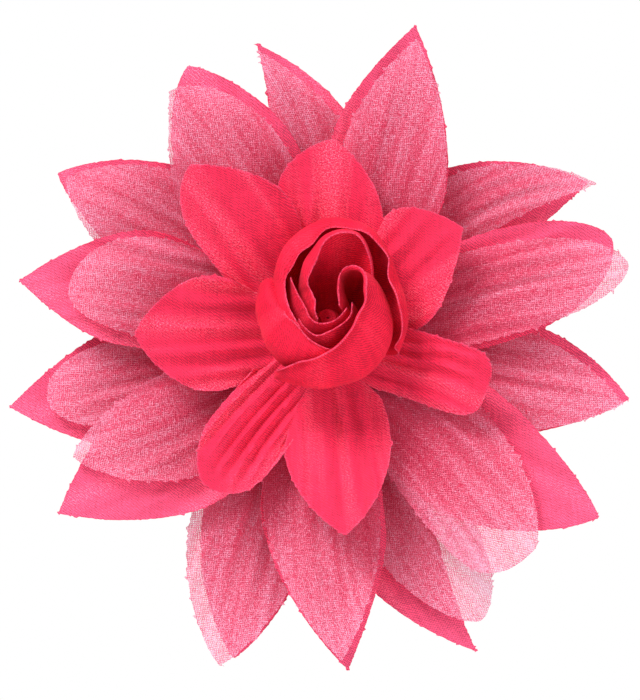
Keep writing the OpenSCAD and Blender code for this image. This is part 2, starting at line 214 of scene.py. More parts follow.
UPPER_ORGANZA = [
    (69, 4, 59.3, (9.5, 0.55, 0.1), (13, 0.35, 0.1), 13, 2, 1.5, 0.3),
    (117, 5, 55.4, (13, 0.5, 0), (11.5, 0.48, 0.8), 13, -2, 1.5, 0.3),
    (164, 4, 49.5, (8, 0.5, 1), (11.5, 0.5, 1), 13, 2, 1.5, 0.3),
    (213, -8, 52.5, (11, 0.4, 0.3), (11, 0.4, 0.3), 13, -2, 1.5, 0.3),
    (266, 7, 60.5, (12, 0.5, 0.1), (11, 0.35, 0.1), 13, 2, 1.5, 0.3),
    (322, -7, 56, (9.5, 0.3, 0.5), (14.5, 0.55, 1.4), 13, -2, 1.5, 0.3),
    (377, -3, 59, (8.5, 0.4, 0.8), (9, 0.4, 0.7), 13, 2, 1.5, 0.3),
]
INNER_PETALS = [
    (38, 1, 33.5, (12, 0.6, 0.25), (10.5, 0.25, 0), 27, -7, 2, 0.5),
    (87, 1, 37.8, (11.8, 0.5, 0.45), (10.6, 0.4, 0.25), 24, -2, 2, 0.35),
    (125, 2.5, 41.5, (8.8, 0.6, 0.5), (12, 0.4, 0.1), 26, -7, 2, 0.45),
    (177, 1, 35.8, (11.8, 0.35, 0.3), (11.8, 0.45, 0.2), 29, -7, 2, 0.6),
    (228, 2, 35.5, (8.5, 0.6, 0.8), (6.5, 0.6, 0.4), 31, -12, 2, 0.9),
    (276, 0, 36.8, (10.6, 0.38, 0.2), (10.6, 0.35, 0.2), 31, -6, 2, 0.45),
    (343, -1, 32, (7, 0.7, 2), (6, 0.6, 2), 29, 28, 2, 0.6),
]

# How far a lobe may pass the edge of its own sector, as a share of the sector's half width
OUTER_SPREAD = 0.97
INNER_SPREAD = 1.3
# Folds across a lobe, and how deeply its sides rise towards the front
FOLD_WAVES = 4.5
BOWL = 0.1
# Faces across a lobe, and millimetres from one row of faces to the next
LOBE_COLUMNS = 36
LOBE_STEP = 0.42
# A border value that lies well inside a sheet, where no cut edge shows
INSIDE = 5.0

# The rosebud stands on its foot and leans towards +Z. Each petal has the radius and height of its
# foot, and a list of places along it: direction, radius and height of its rim, radius at its
# belly, and the width and turn of its lip, where a turn below 0 folds it inwards.
BUD_X, BUD_Y, BUD_LEAN = 0.5, -13.2, 24
BUD_SIZE = 0.965
# Faces round a bud petal, up its wall and over its lip
BUD_COLUMNS, WALL_ROWS, LIP_ROWS = 150, 44, 16
BUD_PETALS = {
    "bud_petal_1": ((5.8, 2.2), [
        (149, 13.0, 14, 13.4, 0.8, -30), (152, 13.4, 15.6, 13.4, 1.8, -70),
        (158, 13.5, 16.6, 13.4, 2.8, -95), (167, 12.8, 17.2, 13.2, 3.2, -95),
        (178, 11.7, 17.6, 13.0, 2.8, -85), (190, 10.4, 17.8, 12.9, 2, -60),
        (202, 9.4, 18, 12.8, 1.2, -20), (216, 8.8, 18, 12.7, 1, 60), (234, 8.9, 18, 12.5, 0.9, 110),
        (252, 9.6, 17.8, 12.1, 0.7, 125), (272, 10.2, 17.2, 11.5, 0.4, 100),
        (290, 10.0, 15.5, 10.8, 0.4, 60)]),
    "bud_petal_2": ((6.2, 2.2), [
        (226, 14.2, 8, 13.7, 0.6, 60), (230, 15.6, 11, 14.2, 0.9, 80),
        (238, 14.9, 14, 14.1, 1.2, 90), (252, 13.4, 16.2, 14.0, 1.6, 100),
        (270, 12, 17.2, 13.9, 1.9, 115), (286, 10.6, 18.2, 13.8, 1.9, 125),
        (299, 9.6, 19, 13.7, 1.7, 125), (322, 8.3, 19.6, 13.4, 1.5, 125),
        (345, 8.1, 20, 12.9, 1.5, 125), (365, 8.3, 20.2, 12.2, 1.5, 125),
        (383, 8.9, 20.4, 11.4, 1.5, 125), (398, 8.9, 20.6, 10.6, 1.3, 125),
        (410, 8.3, 20.6, 9.6, 1.3, 125), (419, 7.0, 20.6, 8.4, 1.3, 120),
        (422, 5.6, 20.3, 7.2, 1.3, 110), (417, 4.4, 20, 6.2, 1.3, 100),
        (400, 3.1, 19.4, 5.4, 1, 80), (370, 2.4, 18.8, 4.8, 0.6, 60),
        (335, 2.6, 18.2, 4.6, 0.4, 40)]),
    "bud_petal_3": ((6.4, 2.4), [
        (-24, 14.6, 9, 13.8, 0.5, 60), (-18, 15.4, 12.5, 14.1, 0.8, 60),
        (-8, 15.2, 14.8, 14.3, 1.4, 60), (4, 14.8, 16.4, 14.4, 2.2, 55),
        (18, 14.9, 17.8, 14.4, 3, 40), (32, 15.4, 18.8, 14.3, 3.4, 10),
        (46, 16.4, 19.2, 14.2, 3.6, -50), (60, 17.4, 19.6, 14.2, 4, -95),
        (75, 17.5, 19.8, 14.2, 4.8, -110), (90, 17.2, 19.8, 14.0, 5.8, -115),
        (106, 16.3, 19.8, 13.6, 6.6, -115), (122, 14.8, 19.6, 12.9, 6, -115),
        (136, 13.2, 19.2, 12.3, 4.4, -112), (147, 11.6, 18.8, 11.9, 2.6, -100),
        (158, 10.2, 18.5, 11.5, 1.4, -70), (172, 9.0, 18.4, 11.2, 0.9, -40),
        (190, 8.1, 18.2, 10.8, 0.7, -20), (210, 7.7, 18, 10.4, 0.5, 0),
        (226, 7.8, 17.4, 10, 0.4, 0)]),
    "bud_petal_4": ((4.6, 1.6), [
        (22, 9.6, 12, 8.6, 1, -30), (34, 10.8, 15.8, 8.8, 1.6, -50),
        (48, 12.4, 19, 9.0, 2.6, -70), (64, 14.0, 20.4, 9.2, 3.8, -90),
        (78, 13.8, 20.9, 9.2, 5, -100), (92, 12.6, 21, 9.0, 5.8, -98),
        (106, 10.8, 21, 8.8, 5.6, -95), (120, 9.2, 20.6, 8.4, 4.2, -92),
        (132, 7.4, 20, 8.0, 2.4, -85), (142, 5.5, 19.2, 7.4, 1, -60),
        (152, 3.9, 18.3, 6.4, 0.6, -30), (178, 2.7, 18, 5.2, 0.5, 0),
        (215, 3.2, 17.4, 4.6, 0.4, 0), (240, 3.9, 17, 4.4, 0.2, 0)]),
    "bud_petal_5": ((4.4, 1.4), [
        (138, 9.2, 14, 9.4, 0.4, 40), (144, 9.1, 17.4, 9.2, 0.6, 60), (154, 7.6, 18, 8.6, 0.6, 80),
        (166, 6.4, 18.2, 8.0, 0.6, 100), (184, 5.3, 18.2, 7.4, 0.6, 100),
        (203, 4.9, 18, 6.9, 0.6, 100), (225, 5.2, 17.8, 6.6, 0.6, 100),
        (246, 5.2, 17.6, 6.3, 0.6, 100), (272, 4.7, 17.6, 6.0, 0.5, 80),
        (300, 4.2, 17.6, 5.7, 0.5, 60), (325, 4.0, 17.6, 5.5, 0.4, 40),
        (345, 3.9, 17, 5.3, 0.2, 20)]),
    "bud_petal_6": ((5.0, 1.8), [
        (200, 6.3, 13, 8.9, 0.4, 40), (212, 6.9, 17, 8.9, 0.6, 80), (230, 7.4, 17.6, 8.8, 0.6, 100),
        (252, 7.9, 17.8, 8.6, 0.6, 100), (270, 6.9, 17.8, 8.2, 0.6, 100),
        (290, 6.0, 17.6, 7.7, 0.6, 100), (308, 5.8, 17.8, 7.2, 0.6, 100),
        (326, 5.6, 18, 6.8, 0.6, 80), (346, 5.0, 18, 6.4, 0.4, 60), (362, 4.8, 17, 6.2, 0.2, 20)]),
}


# ---------------------------------------------------------------- mesh helpers


def deselect_all():
    """Nothing is left selected, so that the next operator acts on one object only"""
    if bpy.context.mode != "OBJECT":
        bpy.ops.object.mode_set(mode="OBJECT")
    bpy.ops.object.select_all(action="DESELECT")


def make_active(piece):
    deselect_all()
    piece.select_set(True)
    bpy.context.view_layer.objects.active = piece


def apply_modifiers(piece):
    make_active(piece)
    for modifier in list(piece.modifiers):
        bpy.ops.object.modifier_apply(modifier=modifier.name)


def smooth(piece, angle=40):
    make_active(piece)
    bpy.ops.object.shade_smooth_by_angle(angle=math.radians(angle))


def new_piece(name, verts, faces):
    mesh = bpy.data.meshes.new(name)
    mesh.from_pydata([tuple(v) for v in verts], [], [tuple(f) for f in faces])
    mesh.update()
    piece = bpy.data.objects.new(name, mesh)
    bpy.context.scene.collection.objects.link(piece)
    return piece


def thicken(piece, thickness):
    """Gives a sheet its thickness, half to each side, and closes its edges"""
    solid = piece.modifiers.new("thickness", "SOLIDIFY")
    solid.thickness = thickness
    solid.offset = 0
    apply_modifiers(piece)


def set_uv(mesh, coords, name="cloth"):
    """Stores each vertex's place on the flat cloth, in metres"""
    layer = mesh.uv_layers.new(name=name)
    index = np.empty(len(mesh.loops), np.int32)
    mesh.loops.foreach_get("vertex_index", index)
    layer.data.foreach_set("uv", np.asarray(coords, np.float32)[index].ravel())


def set_value(mesh, name, values):
    attribute = mesh.attributes.new(name, "FLOAT", "POINT")
    attribute.data.foreach_set("value", np.asarray(values, np.float32))


def flat_area(mesh, name="cloth"):
    """Area of the sheet as cut, from its faces' places on the flat cloth"""
    uv = np.empty(len(mesh.loops) * 2, np.float32)
    mesh.uv_layers[name].data.foreach_get("uv", uv)
    uv = uv.reshape(-1, 2).astype(float)
    area = 0.0
    for face in mesh.polygons:
        loop = uv[face.loop_start:face.loop_start + face.loop_total]
        nxt = np.roll(loop, -1, axis=0)
        area += abs(np.sum(loop[:, 0] * nxt[:, 1] - nxt[:, 0] * loop[:, 1])) / 2
    return area


# ---------------------------------------------------------------- petal layers


def outline(s, widest, blunt):
    """Share of a lobe's greatest half width at s, from 0 at the centre to 1 at the tip"""
    past = np.clip((s - widest) / (1 - widest), 0, 1)
    return np.clip(1 - past ** (1.7 + 1.3 * blunt), 0, 1) ** (1 / (1 + blunt))


def half_width(s, r, side, sector, spread):
    """Half width at s on one side: the outline, kept near the lobe's own sector"""
    width, widest, blunt = side
    room = r * np.tan(np.radians(sector)) * (1 + (spread - 1) * np.clip(6 * s, 0, 1))
    wide = np.maximum(0.3, width * outline(s, widest, blunt))
    return (room ** -6 + wide ** -6) ** (-1 / 6)


def sectors(lobes):
    """The directions where each lobe starts and ends on the edge of the round centre"""
    aims = [lobe[0] for lobe in lobes]
    starts = [(aims[i - 1] - (360 if i == 0 else 0) + aims[i]) / 2 for i in range(len(aims))]
    return list(zip(starts, starts[1:] + [starts[0] + 360]))


def frayed(fray, rows, rng):
    """How far the cut edge stands out, row by row: fine raggedness and a few loose threads"""
    loose = (rng.random(rows) < 0.07) * rng.uniform(3, 8, rows)
    return rng.normal(0, fray, rows) + fray * loose


def lobe_sheet(lobe, sector, rows, fray, spread, rng):
    """Grids of one lobe: its place, its radius and offset when flat, its share and its border"""
    aim, turn, reach, left, right, lift, roll, droop, folds = lobe
    s = 1 - (1 - np.arange(1, rows + 1) / rows) ** 1.25
    t = np.linspace(-1, 1, LOBE_COLUMNS + 1)
    r = HUB_R + (reach - HUB_R) * s
    wide_left = half_width(s, r, left, sector[1] - aim, spread)
    wide_right = half_width(s, r, right, aim - sector[0], spread)
    wide_left = wide_left + frayed(fray, rows, rng)
    wide_right = wide_right + frayed(fray, rows, rng)
    s, t = np.meshgrid(s, t, indexing="ij")
    r = HUB_R + (reach - HUB_R) * s
    across = t * np.where(t > 0, wide_left[:, None], wide_right[:, None])
    a = np.radians(aim + turn * s ** 2)
    x = r * np.cos(a) - across * np.sin(a)
    z = r * np.sin(a) + across * np.cos(a)
    half = (left[0] + right[0]) / 2
    reach_in = np.sin(np.pi * np.clip(s * 1.1, 0, 1)) ** 0.7
    phase = rng.uniform(0, 6.28)
    waves = FOLD_WAVES + rng.uniform(-0.7, 0.7)
    fan = across / half * (1.3 - 0.45 * s) + 0.06 * np.sin(5 * s + phase)
    crease = 1 - 2 * np.abs(np.sin(waves * np.pi / 2 * fan + phase)) ** 0.8
    crease = crease + 0.5 * np.sin(waves * 4.1 * fan + phase * 2)
    height = (r - HUB_R) * np.tan(np.radians(lift)) - droop * s ** 3
    height += BOWL * across ** 2 / half * s + np.tan(np.radians(roll)) * across * s
    height += folds * crease * reach_in - 0.45 * np.exp(-(across / 0.8) ** 2) * reach_in
    wide = np.where(t > 0, wide_left[:, None], wide_right[:, None])
    border = np.minimum((1 - np.abs(t)) * wide, (1 - s) * (reach - HUB_R))
    return x, height, z, r, across, s, border


def build_layer(name, lobes, back, fray, seed, spread):
    """A one-piece layer: a punched centre and its lobes, as one sheet with its flat cut as UV"""
    rng = np.random.default_rng(seed)
    columns = LOBE_COLUMNS
    limits = sectors(lobes)
    verts, flat, along, borders, ribs, faces = [], [], [], [], [], []

    def add(x, height, z, u, v, s, border=INSIDE, rib=0):
        verts.append((x * MM, -height * MM, z * MM))
        flat.append((u * MM, v * MM))
        along.append(s)
        borders.append(border)
        ribs.append(rib)
        return len(verts) - 1

    hole, edge = [], []
    for radius, row in ((HOLE_R, hole), (HUB_R, edge)):
        for start, end in limits:
            for j in range(columns):
                a = math.radians(start + (end - start) * j / columns)
                x, z = radius * math.cos(a), radius * math.sin(a)
                row.append(add(x, 0, z, x, z, 0))
    count = len(lobes) * columns
    for k in range(count):
        following = (k + 1) % count
        faces.append((hole[k], edge[k], edge[following], hole[following]))

    for i, (lobe, sector) in enumerate(zip(lobes, limits)):
        rows = int((lobe[2] - HUB_R) / LOBE_STEP)
        x, height, z, r, across, s, border = lobe_sheet(lobe, sector, rows, fray, spread, rng)
        aim, lift = math.radians(lobe[0]), math.radians(lobe[5])
        out = HUB_R + (r - HUB_R) / math.cos(lift)
        u = out * math.cos(aim) - across * math.sin(aim)
        v = out * math.sin(aim) + across * math.cos(aim)
        rib = across * (1.3 - 0.4 * s) + 60 * i
        below = [edge[(i * columns + j) % count] for j in range(columns + 1)]
        for k in range(rows):
            row = [add(x[k, j], height[k, j], z[k, j], u[k, j], v[k, j], s[k, j], border[k, j],
                       rib[k, j])
                   for j in range(columns + 1)]
            for j in range(columns):
                faces.append((below[j], row[j], row[j + 1], below[j + 1]))
            below = row
    piece = new_piece(name, np.array(verts) + (0, back, 0), faces)
    set_uv(piece.data, flat)
    set_value(piece.data, "along", along)
    set_value(piece.data, "border", borders)
    set_value(piece.data, "rib", ribs)
    return piece


def finish_sheet(piece, thickness):
    flat = np.empty(len(piece.data.loops) * 2, np.float32)
    piece.data.uv_layers["cloth"].data.foreach_get("uv", flat)
    flat = flat.reshape(-1, 2)
    size = flat.max(0) - flat.min(0)
    area = flat_area(piece.data)
    thicken(piece, thickness)
    smooth(piece, 60)
    area = min(area, 0.999 * float(size[0] * size[1]))


# ---------------------------------------------------------------- rosebud


def smooth_path(rows, count):
    """Evenly spaced places on a smooth curve through the rows"""
    rows = np.array(rows, float)
    ends = np.vstack([2 * rows[0] - rows[1], rows, 2 * rows[-1] - rows[-2]])
    fine = []
    for k in range(1, len(ends) - 2):
        p0, p1, p2, p3 = ends[k - 1:k + 3]
        for t in np.arange(24) / 24:
            fine.append(0.5 * (2 * p1 + (p2 - p0) * t + (2 * p0 - 5 * p1 + 4 * p2 - p3) * t ** 2
                               + (3 * p1 - p0 - 3 * p2 + p3) * t ** 3))
    fine = np.array(fine + [rows[-1]])
    steps = np.linalg.norm(np.diff(fine[:, :3], axis=0), axis=1)
    place = np.concatenate([[0], np.cumsum(steps)])
    wanted = np.linspace(0, place[-1], count)
    return np.stack([np.interp(wanted, place, column) for column in fine.T], axis=1)


def bud_world(radius, direction, height):
    """From the leaning bud's own radius, direction and height to the object's frame, in metres"""
    lean = math.radians(90 - BUD_LEAN)
    x, y = BUD_SIZE * radius * np.cos(direction), BUD_SIZE * radius * np.sin(direction)
    return np.stack([BUD_X + x, BUD_Y + y * math.cos(lean) - height * math.sin(lean),
                     y * math.sin(lean) + height * math.cos(lean)], axis=-1) * MM


def sheet_from_grid(name, places):
    """A sheet through a grid of places, with the cloth's own lengths as its UV"""
    columns, rows = places.shape[:2]
    index = np.arange(columns * rows).reshape(columns, rows)
    faces = np.stack([index[:-1, :-1], index[1:, :-1], index[1:, 1:], index[:-1, 1:]], axis=-1)
    piece = new_piece(name, places.reshape(-1, 3), faces.reshape(-1, 4))
    middle = places[:, rows // 2]
    u = np.concatenate([[0], np.cumsum(np.linalg.norm(np.diff(middle, axis=0), axis=1))])
    v = np.concatenate([np.zeros((columns, 1)),
                        np.cumsum(np.linalg.norm(np.diff(places, axis=1), axis=2), axis=1)], axis=1)
    flat = np.stack([np.broadcast_to(u[:, None], v.shape), v], axis=-1)
    set_uv(piece.data, flat.reshape(-1, 2))
    set_value(piece.data, "along", np.tile(np.linspace(0, 1, rows), columns))
    set_value(piece.data, "rib", np.repeat(u / MM, rows))
    sides = np.minimum(u, u[-1] - u)[:, None]
    border = np.minimum(v[:, -1:] - v, sides) / MM
    set_value(piece.data, "border", border.ravel())
    return piece


def bud_wall(foot, belly, rim_r, rim_h):
    """Rows from the foot through the belly to the rim, and the handle that shapes the last part"""
    foot_r, foot_h = foot
    t = np.linspace(0, 1, WALL_ROWS)[None, :]
    p1, h1 = 0.95 * belly, foot_h + 0.12 * (rim_h - foot_h)
    p2, h2 = (8 * belly - foot_r - rim_r) / 3 - p1, foot_h + 0.62 * (rim_h - foot_h)
    b0, b1, b2, b3 = (1 - t) ** 3, 3 * t * (1 - t) ** 2, 3 * t ** 2 * (1 - t), t ** 3
    wall_r = b0 * foot_r + b1 * p1 + b2 * p2 + b3 * rim_r
    wall_h = b0 * foot_h + b1 * h1 + b2 * h2 + b3 * rim_h
    return wall_r, wall_h, p2, h2


def bud_lip(rim_r, rim_h, from_r, from_h, lip, turn):
    """Rows that carry the wall's line on past the rim and bend it over by the lip's turn"""
    out, up = rim_r - from_r, rim_h - from_h
    length = np.hypot(out, up)
    out, up = out / length, up / length
    step = lip / LIP_ROWS
    bend = turn * (np.arange(LIP_ROWS)[None, :] + 0.5) / LIP_ROWS
    lip_r = rim_r + np.cumsum(step * (np.cos(bend) * out + np.sin(bend) * up), axis=1)
    lip_h = rim_h + np.cumsum(step * (np.cos(bend) * up - np.sin(bend) * out), axis=1)
    return lip_r, lip_h


def bud_petal(name, foot, rim, seed):
    """One bud petal: a wall swelling from its foot to its belly, closing to a turned lip"""
    rng = np.random.default_rng(seed)
    path = smooth_path([(r * math.cos(math.radians(a)), r * math.sin(math.radians(a)), h, b, lip,
                         math.radians(turn), math.radians(a)) for a, r, h, b, lip, turn in rim],
                       BUD_COLUMNS)
    x, y, height, belly, lip, turn, direction = path.T[:, :, None]
    radius, lip = np.hypot(x, y), np.maximum(lip, 0.1)
    wavy = rng.normal(0, 1, 9)
    u = np.linspace(0, 1, BUD_COLUMNS)[:, None]
    wobble = sum(a * np.sin((k + 2) * 5 * u + k) for k, a in enumerate(wavy)) / 9
    lip = lip * (1 + 0.35 * wobble)
    outward = np.maximum(turn, 0)
    rim_r = radius - lip * np.where(outward > 0.05, (1 - np.cos(outward)) / (outward + 1e-6), 0) * 0.8
    bent = np.maximum(np.abs(turn), 0.01)
    rim_h = height - lip / bent * np.sin(np.minimum(bent, math.pi / 2)) * np.where(turn < 0, 0.8, 1)
    wall_r, wall_h, from_r, from_h = bud_wall(foot, belly, rim_r, rim_h)
    lip_r, lip_h = bud_lip(rim_r, rim_h, from_r, from_h, lip, turn)
    r, h = np.concatenate([wall_r, lip_r], axis=1), np.concatenate([wall_h, lip_h], axis=1)
    v = np.linspace(0, 1, r.shape[1])[None, :]
    ripple = np.sin(u * 23 + rng.uniform(0, 6)) * 0.14 + np.sin(u * 41 + 5 * v) * 0.07
    r = r + ripple * np.sin(np.pi * np.clip(v * 1.15, 0, 1))
    h[:, -1] += rng.normal(0, 0.05, BUD_COLUMNS)
    return sheet_from_grid(name, bud_world(r, direction + 0 * r, h))


def bud_roll(name):
    """The rolled strip at the bud's heart"""
    turns, pitch, count = 5.5, 0.52, 420
    angle = np.linspace(0, turns * 2 * math.pi, count)
    radius = 0.5 + pitch * angle / (2 * math.pi)
    v = np.linspace(0, 1, 26)[None, :]
    top = 10.4 + 0.3 * (radius[:, None] / 3.4) ** 2
    r = radius[:, None] * (0.62 + 0.38 * np.sin(np.pi * v)) * (1 - 0.25 * v ** 4)
    piece = sheet_from_grid(name, bud_world(r, angle[:, None] + 0 * r, 0.3 + (top - 0.3) * v))
    piece.data.attributes.remove(piece.data.attributes["border"])
    set_value(piece.data, "border", np.full(len(piece.data.vertices), INSIDE))
    return piece


# ---------------------------------------------------------------- materials


class Shader:
    """Short ways to add nodes to one material"""

    def __init__(self, name):
        self.material = bpy.data.materials.new(name)
        self.material.use_nodes = True
        self.tree = self.material.node_tree
        self.tree.nodes.clear()
        self.out = self.tree.nodes.new("ShaderNodeOutputMaterial")

    def node(self, kind, **settings):
        made = self.tree.nodes.new("ShaderNode" + kind)
        for key, value in settings.items():
            setattr(made, key, value)
        return made

    def plug(self, socket, value):
        """Links a socket, or sets a plain value"""
        if isinstance(value, bpy.types.NodeSocket):
            self.tree.links.new(value, socket)
        else:
            socket.default_value = value

    def math(self, operation, a, b=0.0, c=0.0):
        made = self.node("Math", operation=operation)
        for socket, value in zip(made.inputs, (a, b, c)):
            self.plug(socket, value)
        return made.outputs[0]

    def noise(self, vector, scale, detail=2.0, roughness=0.5):
        made = self.node("TexNoise")
        self.plug(made.inputs["Vector"], vector)
        made.inputs["Scale"].default_value = scale
        made.inputs["Detail"].default_value = detail
        made.inputs["Roughness"].default_value = roughness
        return made.outputs["Fac"]

    def ramp(self, value, low, high, start=0.0, end=1.0):
        """A value carried from low..high to start..end, and kept inside"""
        made = self.node("MapRange", clamp=True)
        self.plug(made.inputs["Value"], value)
        for socket, number in zip(("From Min", "From Max", "To Min", "To Max"),
                                  (low, high, start, end)):
            self.plug(made.inputs[socket], number)
        return made.outputs["Result"]

    def blend(self, factor, a, b):
        made = self.node("Mix", data_type="RGBA")
        self.plug(made.inputs["Factor"], factor)
        for socket, colour in ((made.inputs[6], a), (made.inputs[7], b)):
            self.plug(socket, colour if isinstance(colour, bpy.types.NodeSocket) else (*colour, 1))
        return made.outputs[2]

    def bump(self, height, distance, strength=1.0):
        made = self.node("Bump")
        self.plug(made.inputs["Height"], height)
        made.inputs["Distance"].default_value = distance
        made.inputs["Strength"].default_value = strength
        return made.outputs["Normal"]

    def principled(self, colour, roughness, **sockets):
        made = self.node("BsdfPrincipled")
        if not isinstance(colour, bpy.types.NodeSocket):
            colour = (*colour, 1)
        self.plug(made.inputs["Base Color"], colour)
        self.plug(made.inputs["Roughness"], roughness)
        for key, value in sockets.items():
            self.plug(made.inputs[key.replace("_", " ").title()], value)
        return made

    def finish(self, surface):
        self.tree.links.new(surface, self.out.inputs["Surface"])
        return self.material


def thread_coordinates(shader, pitch, wander):
    """The flat cloth's two directions counted in threads, with a slow wander in their lines"""
    uv = shader.node("UVMap", uv_map="cloth").outputs["UV"]
    split = shader.node("SeparateXYZ")
    shader.plug(split.inputs[0], uv)
    drift = shader.noise(uv, 260, 3)
    drift = shader.math("MULTIPLY_ADD", drift, wander, -wander / 2)
    u = shader.math("MULTIPLY_ADD", split.outputs[0], 1 / pitch, drift)
    v = shader.math("MULTIPLY_ADD", split.outputs[1], 1 / pitch, drift)
    return uv, u, v


def lengthwise_shading_streaks(shader, scale, detail=2.0):
    """Soft streaks that run along a lobe, from its place across and along: the mask for painted light
    and shade along its folds
    """
    rib = shader.node("Attribute", attribute_name="rib").outputs["Fac"]
    along = shader.node("Attribute", attribute_name="along").outputs["Fac"]
    place = shader.node("CombineXYZ")
    shader.plug(place.inputs[0], rib)
    shader.plug(place.inputs[1], shader.math("MULTIPLY", along, 2.2))
    return shader.noise(place.outputs[0], scale, detail), along


def wave_of(shader, count):
    return shader.math("SINE", shader.math("MULTIPLY", count, 2 * math.pi))


def satin_material(name, tip, base, edge, pitch, glint):
    """Closely woven cloth: crossing threads as bump and tone, and light through the back"""
    shader = Shader(name)
    uv, u, v = thread_coordinates(shader, pitch, 1.6)
    weave = shader.math("MULTIPLY", wave_of(shader, u), wave_of(shader, v))
    slant = shader.math("MULTIPLY_ADD", u, 0.5, shader.math("MULTIPLY", v, 0.85))
    slant = shader.math("MULTIPLY_ADD", wave_of(shader, slant), 0.6, weave)
    weave = shader.math("MULTIPLY_ADD", slant, 0.32, 0.5)
    slub = None
    for scale in ((1, 0.06, 1), (0.06, 1, 1)):
        streaks = shader.node("Mapping")
        shader.plug(streaks.inputs["Vector"], uv)
        streaks.inputs["Scale"].default_value = scale
        threads = shader.noise(streaks.outputs[0], 2600, 2, 0.6)
        slub = threads if slub is None else shader.math("ADD", slub, threads)
    mottle = shader.noise(uv, 420, 4)
    grain = shader.noise(uv, 3600, 2, 0.6)
    along = shader.node("Attribute", attribute_name="along").outputs["Fac"]
    # Outer satin: the cloth's own base colour at the heart, turning to the lighter tip colour towards
    # the tips as painted light through the cloth. The inner petals and the bud have one colour here.
    colour = shader.blend(shader.ramp(along, 0.15, 0.95), base, tip)
    # Near the cut edge the colour turns to the edge colour. On the outer layers this is a darker line
    # along the edge. On the inner petals and the bud it is the lighter tip colour, a painted
    # highlight along their rims.
    border = shader.node("Attribute", attribute_name="border").outputs["Fac"]
    edge_line_and_rim_light = shader.math("MULTIPLY_ADD", shader.noise(uv, 3400, 2, 0.7), 1.6, border)
    colour = shader.blend(shader.ramp(edge_line_and_rim_light, 0.7, 1.1, 0.75, 0), colour, edge)
    tone = shader.math("MULTIPLY_ADD", weave, 0.9, 0.52)
    tone = shader.math("MULTIPLY", tone, shader.ramp(slub, 0.75, 1.25, 0.86, 1.14))
    tone = shader.math("MULTIPLY", tone, shader.ramp(mottle, 0.3, 0.7, 0.94, 1.05))
    tone = shader.math("MULTIPLY", tone, shader.ramp(grain, 0.3, 0.7, 0.78, 1.26))
    # Painted light and shade: the tone rises on some lengthwise streaks and falls between them, as
    # along folds.
    streak_shading, _ = lengthwise_shading_streaks(shader, 0.14)
    tone = shader.math("MULTIPLY", tone, shader.ramp(streak_shading, 0.35, 0.65, 0.86, 1.1))
    # Painted glints: pale pink flecks where the grain meets the brightest streaks, as light catching
    # the threads; glint sets how strong they are.
    painted_glints = shader.math("MULTIPLY", shader.ramp(streak_shading, 0.48, 0.62), shader.ramp(grain, 0.5, 0.6))
    colour = shader.blend(shader.math("MULTIPLY", painted_glints, glint), colour, (1.0, 0.42, 0.55))
    toned = shader.node("Mix", data_type="RGBA", blend_type="MULTIPLY")
    toned.inputs["Factor"].default_value = 1
    shader.plug(toned.inputs[6], colour)
    shader.plug(toned.inputs[7], tone)
    normal = shader.bump(shader.math("MULTIPLY_ADD", slub, 0.5, weave), 0.09 * MM, 0.9)
    cloth = shader.principled(toned.outputs[2], 0.6, normal=normal, sheen_weight=0.08,
                              sheen_roughness=0.5)
    cloth.inputs["Specular IOR Level"].default_value = 0.14
    cloth.inputs["Sheen Tint"].default_value = (1, 0.5, 0.62, 1)
    through = shader.node("BsdfTranslucent")
    shader.plug(through.inputs["Color"], toned.outputs[2])
    mixed = shader.node("MixShader")
    mixed.inputs["Fac"].default_value = 0.18
    shader.plug(mixed.inputs[1], cloth.outputs[0])
    shader.plug(mixed.inputs[2], through.outputs[0])
    return shader.finish(mixed.outputs[0])


